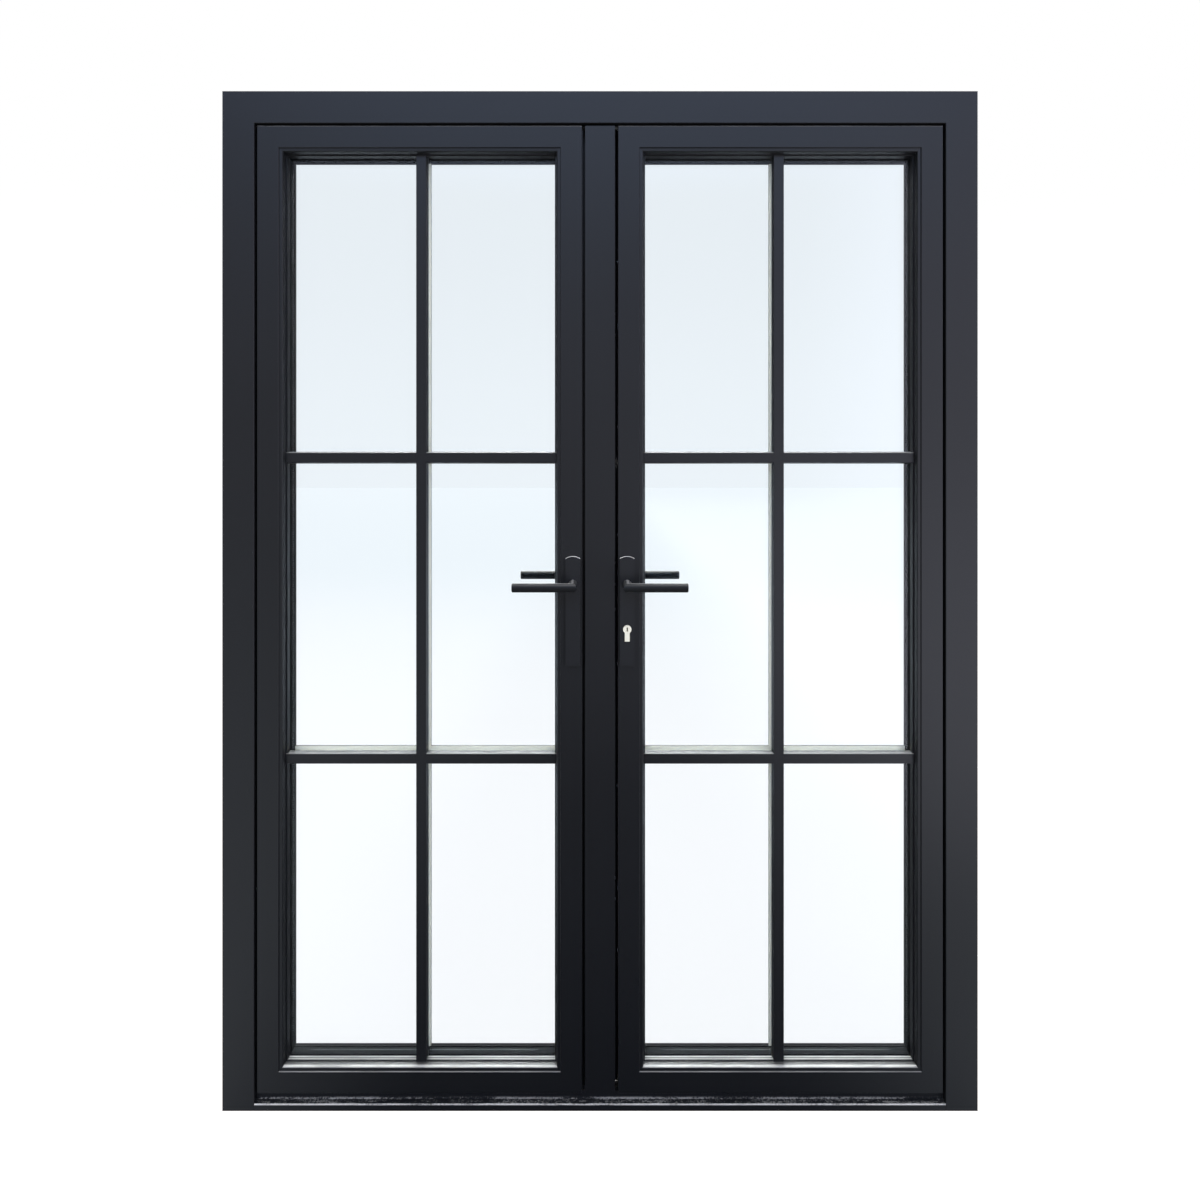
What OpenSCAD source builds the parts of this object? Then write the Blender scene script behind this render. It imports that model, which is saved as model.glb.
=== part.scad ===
// French doors: two glazed leaves of hollow aluminium sections in their own frame, with a
// floating mullion on the left leaf, applied glazing bars, lever handles, lock and shoot bolts.
// Millimetres. Origin at the middle of the frame's underside, +Z up, front face towards -Y.

/* [Overall] */
// Width of the outer frame
frame_w = 1548; // [1250:1:2400]
// Height of the outer frame
frame_h = 2090; // [1950:1:2600]
// Depth of the frame and leaf sections, front face to rear face
depth = 70; // [68:1:90]

/* [Frame sections] */
// Visible width of the jambs and the head
frame_face = 65; // [55:1:90]
// How far the rebate lies behind the edge of the front lip
rebate_step = 13; // [11:0.5:16]
// Depth of the frame's front lip
lip_depth = 17; // [15:0.5:20]
// Wall thickness of the hollow sections
wall = 2; // [1.4:0.1:2.4]
// Gap around and between the leaves
shadow_gap = 6; // [6:0.5:8]
// Bevel along the exposed front edges
edge_bevel = 0.8; // [0.3:0.1:1.2]

/* [Threshold] */
// Height of the threshold's front nose
nose_h = 14; // [12:0.5:16]
// Height of the weather rib behind the nose
rib_h = 31; // [28:0.5:33]
// Height of the threshold behind the rib
sill_h = 17; // [16:0.5:19]
// Height of the leaves' front edge above the floor
leaf_bottom = 36; // [36:0.5:42]

/* [Leaf sections] */
// Flat face of stiles and rails, edge to moulding
leaf_flat = 43.5; // [42:0.5:60]
// Space for the seal between the front lip and the leaf's rear flange
seal_space = 5; // [4:0.5:7]
// Depth of the ledge at the foot of the curved moulding
ledge_depth = 17.5; // [16:0.5:19]
// Visible width of the floating mullion
mullion_face = 62; // [50:1:90]

/* [Glazing] */
// Depth of the outer glass surface behind the front face
glass_depth = 30; // [28:0.5:34]
// Thickness of each glass pane
pane_t = 4; // [3:0.5:4]
// Space between the panes
cavity = 20; // [14:1:20]
// Thickness of the glazing gaskets
gasket_t = 3; // [2:0.5:4]
// How far the glass reaches behind the sight line
glass_cover = 14; // [11:0.5:14]
// Space between the glass edge and the floor of its pocket
pocket_clear = 3; // [2:0.5:4]
// Width of the glazing bars at their face
bar_face = 21; // [15:0.5:35]
// Width of the glazing bars at the glass
bar_base = 25; // [16:0.5:40]
// Depth of the bars' face behind the leaf's front face
bar_depth = 16; // [14:0.5:17]
// Wall of the hollow glazing bars
bar_wall = 1.6; // [1:0.1:2]
// Number of panes' rows in each leaf
rows = 3; // [1:1:6]

/* [Hinges] */
// Number of hinges on each leaf
hinge_count = 3; // [2:1:5]
// Length of a hinge barrel
hinge_h = 100; // [80:1:140]
// Radius of a hinge barrel
barrel_r = 8.5; // [7.5:0.5:8.5]
// Distance of the hinge axis behind the rear face
hinge_set = 9; // [9:0.5:12]
// Radius of the hinge pin
pin_r = 4; // [3:0.5:5]
// Distance of the end hinges' centres from the ends of the leaf
hinge_end = 215; // [150:5:400]

/* [Handles] */
// Height of the spindles above the floor
spindle_z = 1081; // [950:1:1200]
// Distance of the spindles from the leaf's meeting edge
backset = 18.5; // [17.5:0.5:20]
// Width of a handle plate
plate_w = 30; // [28:0.5:34]
// Height of a handle plate
plate_h = 223; // [218:1:260]
// Distance from the spindle up to the top of the plate
plate_over = 56; // [52:1:70]
// Thickness of a handle plate
plate_t = 8.5; // [7:0.5:12]
// Rise of the arch along the plate's top edge
plate_arch = 4.5; // [2:0.5:8]
// Radius of the lever bars
lever_r = 9; // [8:0.5:10]
// Distance from the spindle to the lever's free end
lever_reach = 119; // [90:1:140]
// Distance of the lever bar's centre from the leaf's face
lever_stand = 58; // [45:1:65]
// Width of the square spindle
spindle_w = 8; // [7:0.5:9]

/* [Lock] */
// Distance from the spindle down to the cylinder
cylinder_drop = 92; // [85:1:92]
// Travel of the top and bottom shoot bolts
shoot_throw = 20; // [15:1:20]
// Travel of the dead bolt
dead_throw = 20; // [15:1:20]
// Travel of the latch bolt
latch_throw = 11; // [9:0.5:13]
// Travel of the pin bolts
pin_throw = 16; // [12:1:20]
// Radius of the shoot bolts
shoot_r = 5; // [4:0.5:6]
// Length of the lock's faceplate
faceplate_h = 1500; // [1300:10:1600]

/* [Fixings] */
// Radius of the frame's fixing holes
fixing_r = 4; // [3:0.5:5]
// Spacing of the outer pair of jamb fixings
fixing_outer = 1730; // [1400:10:1800]
// Spacing of the inner pair of jamb fixings
fixing_inner = 690; // [400:10:1000]
// Spacing of the two head fixings
fixing_head = 800; // [400:10:1000]

/* [Hidden] */
$fn = 48;

anthracite = "#2f3338";
rubber = "#141416";
steel = "#a9adb2";
nickel = "#cfc8b4";

left = -1;
right = 1;

// clearances
fit = 0.2;        // pieces that rest beside each other
slide = 0.3;      // pieces that slide past each other
turn = 0.05;      // shafts in their bores

// leaf size and place
leaf_w = (frame_w - 2 * frame_face - 4 * shadow_gap - mullion_face) / 2;
leaf_h = frame_h - frame_face - shadow_gap - leaf_bottom;
leaf_x = -frame_w / 2 + frame_face + shadow_gap;
flange = rebate_step;
flange_d = lip_depth + seal_space;

// glazing line, measured inwards from the leaf's edge (u) and back from its face (d)
moulding_w = 13.5;
sight = leaf_flat + moulding_w;
mitre_end = sight + 3;   // the mitred corners are drawn out to here
glass_u = sight - glass_cover;
pocket_u = glass_u - pocket_clear;
gasket_d = glass_depth - gasket_t;
inner_pane_d = glass_depth + pane_t + cavity;
glass_back = inner_pane_d + pane_t;
bead_d = glass_back + gasket_t;

// webs across the hollow sections
mid_d = lip_depth + seal_space + wall;
cleat_space = 22;
web_d = depth - cleat_space - wall;
lock_d = depth / 2;
lock_t = 18;

// hinge axis in leaf coordinates
hinge_x = -flange - shadow_gap / 2;
hinge_d = depth + hinge_set;
knuckle_gap = 0.3;
knuckle_clear = 0.6;
hinge_plate_t = 4;
hinge_plate_w = 36;
hinge_plate_h = hinge_h - 16;
middle_knuckle = hinge_h * 0.4;
pin_cap_t = 1.5;
pin_cap_cone = 2;

// handles and lock in leaf coordinates
spindle_x = leaf_w - backset;
spindle_v = spindle_z - leaf_bottom;
neck_gap = 0.4;
neck_stub_r = 7;
socket_depth = 22;
follower_r = 9;
plate_top = spindle_v + plate_over;
screw_r = 2.5;
screw_inset = 12;
screw_head_t = 2.5;
screw_into_plate = 6;
screw_rows = [plate_top - screw_inset, plate_top - plate_h + screw_inset];
case_u = 3;
case_w = 33;
case_wall = 1.5;
cylinder_v = spindle_v - cylinder_drop;
case_top = plate_top - screw_inset - 10;
case_bottom = cylinder_v - 44;
cylinder_r = 8.5;
cylinder_leg_w = 10;
cylinder_leg_h = 24.5;
cylinder_proud = 3;
plug_r = 6.5;
cam_r = 12;
cam_w = 7;
cam_half = 4.8;
keyway_w = 2.6;
keyway_h = 8.5;
keyway_l = 25;
latch_v = spindle_v + 23;
latch_h = 14;
latch_t = 10;
latch_l = latch_throw + 16;
latch_bevel = 42;
dead_v = spindle_v - 40;
dead_h = 22;
dead_t = 8;
dead_l = dead_throw + 7;
pin_bolt_r = 6;
pin_bolt_l = pin_throw + 13;
guide_half = 14;
guide_back = 4;
faceplate_mid = spindle_v - 53;
pin_inset = 160;
pin_rows = [for (end = [-1, 1]) faceplate_mid + end * (faceplate_h / 2 - pin_inset)];
faceplate_t = 3;
tip_set = 0.5;
shoot_u = 10;
shoot_end = 1;
shoot_inner = follower_r + 5;
gearbox_half = shoot_inner + shoot_throw + 6;
keep_t = 2;
keep_w = 30;
keep_over = 15;
pile_d = depth - 10;
pile_half = 4;
pile_groove = 2;
pile_reach = shadow_gap - slide;

// ---- placing -----------------------------------------------------------------------------

// Puts leaf coordinates (hinge edge at x = 0, front face at y = 0, bottom at z = 0) in place
module in_leaf(side) {
    mirror([side > 0 ? 1 : 0, 0, 0])
        translate([leaf_x, -depth / 2, leaf_bottom])
            children();
}

// Puts frame coordinates (left edge at x = 0, front face at y = 0) in place
module in_frame() {
    translate([-frame_w / 2, -depth / 2, 0]) children();
}

// Turns a member drawn along the bottom edge of a w x h rectangle onto its other edges
module on_right(w) { translate([w, 0, 0]) rotate([0, -90, 0]) children(); }
module on_top(w, h) { translate([w, 0, h]) rotate([0, 180, 0]) children(); }
module on_left(h) { translate([0, 0, h]) rotate([0, 90, 0]) children(); }

// A straight length of a section drawn as [depth, width], running along +X
module length_of(from, to) {
    translate([from, 0, 0]) rotate([90, 0, 90]) linear_extrude(to - from) children();
}

// Keeps what lies inside an outline drawn as [length, width]
module within(outline) {
    intersection() {
        children();
        translate([0, depth + 1, 0]) rotate([90, 0, 0]) linear_extrude(depth + 2) polygon(outline);
    }
}

// A block given by its low and high corners
module block(low, high) { translate(low) cube(high - low); }

// A round bar along Y
module bar_y(x, z, r, from, to, fn = 48) {
    translate([x, to, z]) rotate([90, 0, 0]) cylinder(r = r, h = to - from, $fn = fn);
}

// A round bar along X
module bar_x(y, z, r, from, to) {
    translate([from, y, z]) rotate([0, 90, 0]) cylinder(r = r, h = to - from);
}

// A rectangular hole in a section, drawn as [depth, width]
module chamber(low, high) { translate(low) square(high - low); }

// A closed rectangular ring in leaf coordinates
module ring(outer_low, outer_high, wide) {
    difference() {
        block(outer_low, outer_high);
        block(outer_low + [wide, -1, wide], outer_high + [-wide, 1, -wide]);
    }
}

// ---- frame -------------------------------------------------------------------------------

module frame_section() {
    difference() {
        polygon([
            [0, 0], [0, frame_face - edge_bevel], [edge_bevel, frame_face],
            [lip_depth, frame_face], [lip_depth, frame_face - rebate_step],
            [depth, frame_face - rebate_step], [depth, 0]
        ]);
        chamber([wall, wall], [lip_depth - wall, frame_face - wall]);
        chamber([lip_depth, wall], [web_d - wall, frame_face - rebate_step - wall]);
        chamber([web_d, wall], [depth - wall, frame_face - rebate_step - wall]);
    }
}

fixing_d = (lip_depth + web_d) / 2;
corner_reach = frame_face + 5;

module jamb_fixings() {
    for (gap = [fixing_outer, fixing_inner], end = [-1, 1])
        bar_x(fixing_d, frame_h / 2 + end * gap / 2, fixing_r, -1, frame_face + 1);
}

module jamb_left() {
    color(anthracite)
    difference() {
        on_left(frame_h)
            within([[0, 0], [frame_h, 0], [frame_h, corner_reach], [corner_reach, corner_reach]])
                length_of(0, frame_h) frame_section();
        jamb_fixings();
    }
}

module jamb_right() {
    color(anthracite)
    difference() {
        on_right(frame_w)
            within([[0, 0], [frame_h, 0], [frame_h - corner_reach, corner_reach], [0, corner_reach]])
                length_of(0, frame_h) frame_section();
        translate([frame_w, 0, 0]) mirror([1, 0, 0]) jamb_fixings();
    }
}

module head() {
    color(anthracite)
    difference() {
        on_top(frame_w, frame_h)
            within([[0, 0], [frame_w, 0], [frame_w - corner_reach, corner_reach],
                    [corner_reach, corner_reach]])
                length_of(0, frame_w) frame_section();
        for (end = [-1, 1])
            translate([frame_w / 2 + end * fixing_head / 2, fixing_d, frame_h - frame_face - 1])
                cylinder(r = fixing_r, h = frame_face + 2);
        shoot_hole(frame_h - frame_face, frame_h - frame_face + rebate_step + wall + 1);
    }
}

// Hole for a shoot bolt in frame coordinates
shoot_frame_x = frame_w / 2 + leaf_x + leaf_w - shoot_u;
shoot_hole_r = shoot_r + slide;

module shoot_hole(from, to) {
    translate([shoot_frame_x, lock_d, from]) cylinder(r = shoot_hole_r, h = to - from);
}

module threshold_section() {
    nose_end = lip_depth + 3;
    difference() {
        polygon([
            [0, 0], [0, nose_h - edge_bevel], [edge_bevel, nose_h],
            [lip_depth - wall, nose_h], [lip_depth - wall, rib_h], [lip_depth, rib_h],
            [lip_depth, sill_h], [depth, sill_h], [depth, 0]
        ]);
        chamber([wall, wall], [nose_end, nose_h - wall]);
        chamber([nose_end + wall, wall], [depth - wall, sill_h - wall]);
    }
}

module threshold() {
    side = frame_face - rebate_step;
    color(anthracite)
    difference() {
        length_of(side, frame_w - side) threshold_section();
        block([side - 1, -1, -1], [frame_face, lip_depth, rib_h + 1]);
        block([frame_w - frame_face, -1, -1], [frame_w - side + 1, lip_depth, rib_h + 1]);
        shoot_hole(sill_h - wall - 1, sill_h + 1);
    }
}

// An L-shaped cleat in the corner of two hollow sections; x and z are its outer corner
module cleat(x, z, arm, from_d, to_d) {
    thick = 12;
    difference() {
        block([x, from_d, z], [x + arm, to_d, z + arm]);
        block([x + thick, from_d - 1, z + thick], [x + arm + 1, to_d + 1, z + arm + 1]);
    }
}

module frame_cleats() {
    arm = 90;
    inset = wall + fit;
    color(steel)
    for (side = [0, 1])
        translate([side * frame_w, 0, frame_h])
            mirror([side, 0, 0]) mirror([0, 0, 1])
                cleat(inset, inset, arm, web_d + fit, depth - wall - fit);
}

seal_w = 5;
seal_inset = 1;

module frame_seal() {
    edge = frame_face - seal_w - seal_inset;
    low = rib_h - seal_w - seal_inset;
    color(rubber)
    difference() {
        block([edge, lip_depth, low], [frame_w - edge, flange_d - slide, frame_h - edge]);
        block([edge + seal_w, lip_depth - 1, low + seal_w],
              [frame_w - edge - seal_w, flange_d, frame_h - edge - seal_w]);
    }
}

// A keep plate with a hole for a shoot bolt, standing on z = from
module shoot_keep(from) {
    color(steel)
    difference() {
        block([shoot_frame_x - keep_w / 2, lock_d - lock_t / 2, from],
              [shoot_frame_x + keep_w / 2, lock_d + lock_t / 2, from + keep_t]);
        shoot_hole(from - 1, from + keep_t + 1);
    }
}

// ---- leaf sections -----------------------------------------------------------------------

step_d = 1;            // bevel where the flat face ends
step_w = 1.2;
quirk_d = 3;
quirk_u = leaf_flat + 6.5;
ovolo_w = 3;
ledge_w = 2.5;

function ovolo(out) = [
    for (a = [0 : 15 : 90])
        [quirk_d + out + (ledge_depth - quirk_d - out) * (1 - cos(a)), quirk_u - out + ovolo_w * sin(a)]
];

// Section of a stile or rail as [depth, width], with a rear flange of width f
module leaf_section(f) {
    rear = f > 0
        ? [[depth, pocket_u], [depth, -f], [flange_d, -f], [flange_d, 0]]
        : [[depth, pocket_u], [depth, 0]];
    difference() {
        polygon(concat(
            [[edge_bevel, 0], [0, edge_bevel], [0, leaf_flat], [step_d, leaf_flat + step_d],
             [quirk_d - fit, leaf_flat + step_w]],
            ovolo(0),
            [[ledge_depth, quirk_u + ovolo_w + ledge_w], [gasket_d, sight], [gasket_d, pocket_u]],
            rear
        ));
        chamber([wall, wall], [flange_d, pocket_u - wall]);
        chamber([mid_d, wall - f], [web_d - wall, pocket_u - wall]);
        chamber([web_d, wall - f], [depth - wall, pocket_u - wall]);
        polygon([
            [quirk_d + wall, pocket_u], [quirk_d + wall, quirk_u - wall],
            [ledge_depth + wall, quirk_u + ovolo_w - wall], [gasket_d - wall, quirk_u + ovolo_w],
            [gasket_d - wall, pocket_u]
        ]);
    }
}

module hinge_stile() {
    color(anthracite)
    on_left(leaf_h)
        within([[-flange, -flange], [leaf_h + flange, -flange], [leaf_h - mitre_end, mitre_end],
                [mitre_end, mitre_end]])
            length_of(-flange, leaf_h + flange) leaf_section(flange);
}

module bottom_rail() {
    color(anthracite)
    within([[-flange, -flange], [leaf_w, -flange], [leaf_w, 0], [leaf_w - mitre_end, mitre_end],
            [mitre_end, mitre_end]])
        length_of(-flange, leaf_w) leaf_section(flange);
}

module top_rail() {
    color(anthracite)
    on_top(leaf_w, leaf_h)
        within([[0, -flange], [leaf_w + flange, -flange], [leaf_w - mitre_end, mitre_end],
                [mitre_end, mitre_end], [0, 0]])
            length_of(0, leaf_w + flange) leaf_section(flange);
}

module plain_meeting_stile() {
    on_right(leaf_w)
        within([[0, 0], [leaf_h, 0], [leaf_h - mitre_end, mitre_end], [mitre_end, mitre_end]])
            length_of(0, leaf_h) leaf_section(0);
}

// Holes through a meeting stile for the spindle and the plate screws
module handle_holes(spindle_hole_r, hole_r) {
    bar_y(spindle_x, spindle_v, spindle_hole_r, -1, depth + 1);
    for (v = screw_rows)
        bar_y(spindle_x, v, hole_r, -1, depth + 1, 24);
}

module shoot_rail_hole(from, to) {
    translate([leaf_w - shoot_u, lock_d, from]) cylinder(r = shoot_hole_r, h = to - from);
}

module left_meeting_stile() {
    color(anthracite)
    difference() {
        plain_meeting_stile();
        handle_holes(neck_stub_r, screw_r + slide);
    }
}

module right_meeting_stile() {
    color(anthracite)
    difference() {
        plain_meeting_stile();
        handle_holes(neck_stub_r, screw_r + slide);
        euro_profile(1, -1, depth + 1);
        block([leaf_w - wall - 1, lock_d - lock_t / 2, faceplate_mid - faceplate_h / 2],
              [leaf_w + 1, lock_d + lock_t / 2, faceplate_mid + faceplate_h / 2]);
    }
}

module left_top_rail() {
    color(anthracite)
    difference() {
        top_rail();
        shoot_rail_hole(leaf_h + flange - wall - 1, leaf_h + flange + 1);
    }
}

module left_bottom_rail() {
    color(anthracite)
    difference() {
        bottom_rail();
        shoot_rail_hole(-flange - 1, -flange + wall + 1);
    }
}

module corner_cleats() {
    arm = 65;
    near = web_d + fit;
    far = depth - wall - fit;
    hinge_end_x = -flange + wall + fit;
    meeting_end_x = leaf_w - wall - fit;
    low = -flange + wall + fit;
    high = leaf_h + flange - wall - fit;
    color(steel) {
        cleat(hinge_end_x, low, arm, near, far);
        translate([0, 0, high]) mirror([0, 0, 1]) cleat(hinge_end_x, 0, arm, near, far);
        translate([meeting_end_x, 0, low]) mirror([1, 0, 0]) cleat(0, 0, arm, near, far);
        translate([meeting_end_x, 0, high])
            mirror([1, 0, 0]) mirror([0, 0, 1]) cleat(0, 0, arm, near, far);
    }
}

// ---- glazing -----------------------------------------------------------------------------

module pane(from_d) {
    color("#cfe3ea", 0.35)
        block([glass_u, from_d, glass_u], [leaf_w - glass_u, from_d + pane_t, leaf_h - glass_u]);
}

spacer_u = glass_u + 0.5;
gasket_w = 9;

module spacer() {
    color(rubber)
        ring([spacer_u, glass_depth + pane_t, spacer_u],
             [leaf_w - spacer_u, inner_pane_d, leaf_h - spacer_u], sight - 0.5 - spacer_u);
}

module gasket(from_d) {
    edge = sight - gasket_w;
    ring([edge, from_d, edge], [leaf_w - edge, from_d + gasket_t, leaf_h - edge], gasket_w);
}

module gaskets() {
    color(rubber) {
        gasket(gasket_d);
        gasket(glass_back);
    }
}

bead_wall = 1.5;
bead_lean = 1;
bead_nose = 2;

module bead_section() {
    top = sight - bead_lean - bead_nose;
    difference() {
        polygon([
            [bead_d, pocket_u], [bead_d, sight], [depth - bead_nose, sight - bead_lean],
            [depth, top], [depth, pocket_u]
        ]);
        chamber([bead_d + bead_wall, pocket_u + bead_wall], [depth - bead_wall, top - bead_wall]);
    }
}

// One glazing bead along the bottom edge of a leaf of width w, mitred with a hairline joint
module bead(w) {
    near = pocket_u + fit / 2;
    tip = mitre_end + fit / 2;
    within([[near, pocket_u], [w - near, pocket_u], [w - tip, mitre_end], [tip, mitre_end]])
        length_of(pocket_u, w - pocket_u) bead_section();
}

module glazing_beads() {
    color(anthracite) {
        bead(leaf_w);
        on_top(leaf_w, leaf_h) bead(leaf_w);
        on_left(leaf_h) bead(leaf_h);
        on_right(leaf_w) bead(leaf_h);
    }
}

bar_foot = 4;
bar_bevel = 0.6;

// Section of a front glazing bar as [width, depth]
module bar_outline(thin, front) {
    half_face = bar_face / 2 - thin;
    half_base = bar_base / 2 - thin;
    polygon([
        [-half_base, glass_depth - thin], [-half_base, glass_depth - bar_foot],
        [-half_face, front + bar_bevel + thin], [-half_face + bar_bevel, front + thin],
        [half_face - bar_bevel, front + thin], [half_face, front + bar_bevel + thin],
        [half_base, glass_depth - bar_foot], [half_base, glass_depth - thin]
    ]);
}

module bar_section() {
    difference() {
        bar_outline(0, bar_depth);
        bar_outline(bar_wall, bar_depth);
    }
}

bar_rise = (leaf_h - 2 * sight) / rows;
scribe = fit / 2;      // hairline where bars end against a surface
tongue_u = quirk_u + ovolo_w + scribe;

// Cuts the ends of the front bars to fit over the moulding's ledge
module bar_bed() {
    ledge = ledge_depth - turn;
    difference() {
        block([-1, ledge, -1], [leaf_w + 1, depth, leaf_h + 1]);
        block([sight + fit, ledge - 1, sight + fit],
              [leaf_w - sight - fit, depth + 1, leaf_h - sight - fit]);
    }
}

module upright_bar() {
    translate([leaf_w / 2, 0, tongue_u]) linear_extrude(leaf_h - 2 * tongue_u) children();
}

// A cross bar between two rows of panes; its section is drawn as [width, depth]
module cross_bar(i) {
    translate([tongue_u, 0, sight + i * bar_rise])
        rotate([90, 0, 90]) linear_extrude(leaf_w - 2 * tongue_u)
            rotate(90) mirror([0, 1]) children();
}

module front_bars() {
    difference() {
        upright_bar() bar_section();
        bar_bed();
    }
    if (rows > 1)
        for (i = [1 : rows - 1])
            difference() {
                cross_bar(i) bar_section();
                bar_bed();
                upright_bar() bar_outline(-scribe, bar_depth);
            }
}

// The rear bars are the same section, facing the other way against the inner pane
module rear_bars() {
    difference() {
        translate([0, glass_depth + glass_back, 0]) mirror([0, 1, 0]) turned_rear_bars();
        difference() {
            block([-1, glass_back - 1, -1], [leaf_w + 1, depth + 10, leaf_h + 1]);
            block([sight + fit, glass_back - 2, sight + fit],
                  [leaf_w - sight - fit, depth + 11, leaf_h - sight - fit]);
        }
    }
}

rear_bar_front = glass_depth - (depth - glass_back);

module rear_bar_section() {
    difference() {
        bar_outline(0, rear_bar_front);
        bar_outline(bar_wall, rear_bar_front);
    }
}

module turned_rear_bars() {
    upright_bar() rear_bar_section();
    if (rows > 1)
        for (i = [1 : rows - 1])
            difference() {
                cross_bar(i) rear_bar_section();
                upright_bar() bar_outline(-scribe, rear_bar_front);
            }
}

module glazing_bars() {
    color(anthracite) {
        front_bars();
        rear_bars();
    }
}

// ---- hinges ------------------------------------------------------------------------------

hinge_rows = [
    for (i = [0 : hinge_count - 1])
        hinge_end + i * (leaf_h - 2 * hinge_end) / (hinge_count - 1)
];

module hinge_bore() {
    translate([0, 0, -hinge_h]) cylinder(r = pin_r + turn, h = 2 * hinge_h);
}

// Plate on a rear face, from the barrel outwards along +X (1) or -X (-1)
module hinge_plate(way) {
    from = shadow_gap / 2;
    mirror([way < 0 ? 1 : 0, 0, 0])
        block([from, -hinge_set, -hinge_plate_h / 2],
              [from + hinge_plate_w, -hinge_set + hinge_plate_t, hinge_plate_h / 2]);
}

module frame_half() {
    difference() {
        union() {
            hinge_plate(-1);
            for (end = [0, 1])
                mirror([0, 0, end])
                    translate([0, 0, middle_knuckle / 2 + knuckle_gap])
                        cylinder(r = barrel_r, h = (hinge_h - middle_knuckle) / 2 - knuckle_gap);
        }
        hinge_bore();
        translate([0, 0, -middle_knuckle / 2 - knuckle_gap])
            cylinder(r = barrel_r + knuckle_clear, h = middle_knuckle + 2 * knuckle_gap);
    }
}

module leaf_half() {
    difference() {
        union() {
            hinge_plate(1);
            translate([0, 0, -middle_knuckle / 2]) cylinder(r = barrel_r, h = middle_knuckle);
        }
        hinge_bore();
        for (end = [0, 1])
            mirror([0, 0, end])
                translate([0, 0, middle_knuckle / 2])
                    cylinder(r = barrel_r + knuckle_clear, h = hinge_h);
    }
}

module hinge_pin() {
    translate([0, 0, -hinge_h / 2]) cylinder(r = pin_r, h = hinge_h);
    translate([0, 0, hinge_h / 2]) cylinder(r = barrel_r, h = pin_cap_t);
    translate([0, 0, hinge_h / 2 + pin_cap_t])
        cylinder(r1 = barrel_r, r2 = barrel_r - pin_cap_cone, h = pin_cap_cone);
}

module at_hinges() {
    for (v = hinge_rows)
        translate([hinge_x, hinge_d, v]) children();
}

module hinge_frame_halves() {
    color(anthracite)
    for (side = [left, right])
        in_leaf(side) at_hinges() frame_half();
}

module hinge_pins() {
    color(steel)
    for (side = [left, right])
        in_leaf(side) at_hinges() hinge_pin();
}

module hinge_leaf_halves() {
    color(anthracite) at_hinges() leaf_half();
}

// ---- mullion -----------------------------------------------------------------------------

mullion_x = leaf_w + shadow_gap;
mullion_end = mullion_x + mullion_face;

// Section of the mullion as [x, depth] in leaf coordinates
module mullion_section() {
    groove = mullion_end - pile_groove;
    difference() {
        polygon([
            [mullion_x + edge_bevel, 0], [mullion_end - edge_bevel, 0],
            [mullion_end, edge_bevel], [mullion_end, pile_d - pile_half],
            [groove, pile_d - pile_half], [groove, pile_d + pile_half],
            [mullion_end, pile_d + pile_half], [mullion_end, depth],
            [leaf_w, depth], [leaf_w, lip_depth], [mullion_x, lip_depth],
            [mullion_x, edge_bevel]
        ]);
        chamber([mullion_x + wall, wall], [mullion_end - wall, lip_depth - wall]);
        chamber([leaf_w + wall, lip_depth], [mullion_end - wall, web_d - wall]);
        chamber([leaf_w + wall, web_d], [groove - wall, depth - wall]);
    }
}

// The centre keep's height range
keep_low = dead_v - dead_h / 2 - keep_over;
keep_high = latch_v + latch_h / 2 + keep_over;
pin_keep_half = 30;
keep_strip_t = 3;
keep_bands = concat(
    [[keep_low, keep_high]],
    [for (v = pin_rows) [v - pin_keep_half, v + pin_keep_half]]
);

module mullion() {
    color(anthracite)
    difference() {
        linear_extrude(leaf_h) mullion_section();
        for (band = keep_bands)
            block([mullion_end - wall - 1, lock_d - lock_t / 2, band[0]],
                  [mullion_end + 1, lock_d + lock_t / 2, band[1]]);
    }
}

module mullion_caps() {
    color(rubber)
    for (from = [-flange, leaf_h])
        block([leaf_w, flange_d, from], [mullion_end, depth, from + flange]);
}

// A brush strip that bridges the gap to the other leaf
module mullion_seal() {
    color(rubber)
        block([mullion_end - pile_groove, pile_d - pile_half, 0],
              [mullion_end + pile_reach, pile_d + pile_half, leaf_h]);
}

module mullion_keeps() {
    color(steel)
    difference() {
        for (band = keep_bands)
            block([mullion_end - keep_strip_t, lock_d - lock_t / 2, band[0]],
                  [mullion_end, lock_d + lock_t / 2, band[1]]);
        keep_hole(latch_v, latch_h, latch_t);
        keep_hole(dead_v, dead_h, dead_t);
        for (v = pin_rows)
            bar_x(lock_d, v, pin_bolt_r + slide, mullion_end - keep_strip_t - 1, mullion_end + 1);
    }
}

module keep_hole(v, high, thick) {
    block([mullion_end - keep_strip_t - 1, lock_d - thick / 2 - slide, v - high / 2 - slide],
          [mullion_end + 1, lock_d + thick / 2 + slide, v + high / 2 + slide]);
}

// ---- handles -----------------------------------------------------------------------------

module plate_outline() {
    half = plate_w / 2;
    arch_r = (half * half + plate_arch * plate_arch) / (2 * plate_arch);
    translate([-half, -plate_h]) square([plate_w, plate_h - plate_arch]);
    intersection() {
        translate([-half, -plate_arch - 1]) square([plate_w, plate_arch + 1]);
        translate([0, -arch_r]) circle(r = arch_r, $fn = 96);
    }
}

// A handle plate in front of y = 0
module plate() {
    translate([spindle_x, 0, plate_top]) rotate([90, 0, 0]) linear_extrude(plate_t) plate_outline();
}

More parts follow.
